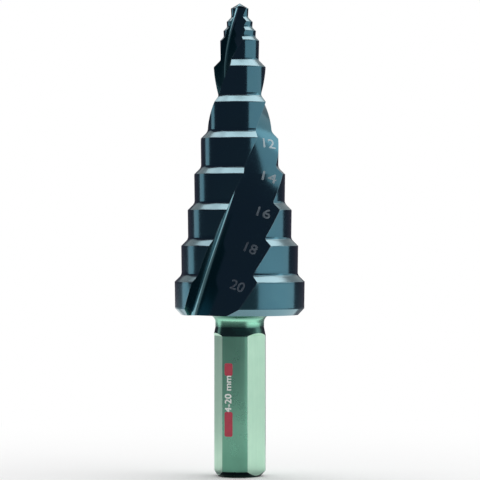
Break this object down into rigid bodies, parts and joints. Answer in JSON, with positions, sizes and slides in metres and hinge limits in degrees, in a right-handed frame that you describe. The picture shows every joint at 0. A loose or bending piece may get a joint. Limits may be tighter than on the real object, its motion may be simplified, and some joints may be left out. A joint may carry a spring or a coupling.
{
  "type": "step drill",
  "caption": "Stepped conical drill for sheet metal, with two right-hand helical flutes, a short pilot point and a round shank with three driving flats.",
  "frame": {"origin": "centre of the shank's flat end face", "axes": "+Z along the drill's axis from the shank's end to the point; the flute with the size numbers faces -Y"},
  "size_m": [0.02, 0.0198, 0.0727],
  "materials": {
    "coated_steel": "high-speed steel with a glossy blue-black hard coating on the head, and a bright ground shank"
  },
  "bodies": {
    "root": {"step_drill": "coated_steel"}
  },
  "joints": []
}
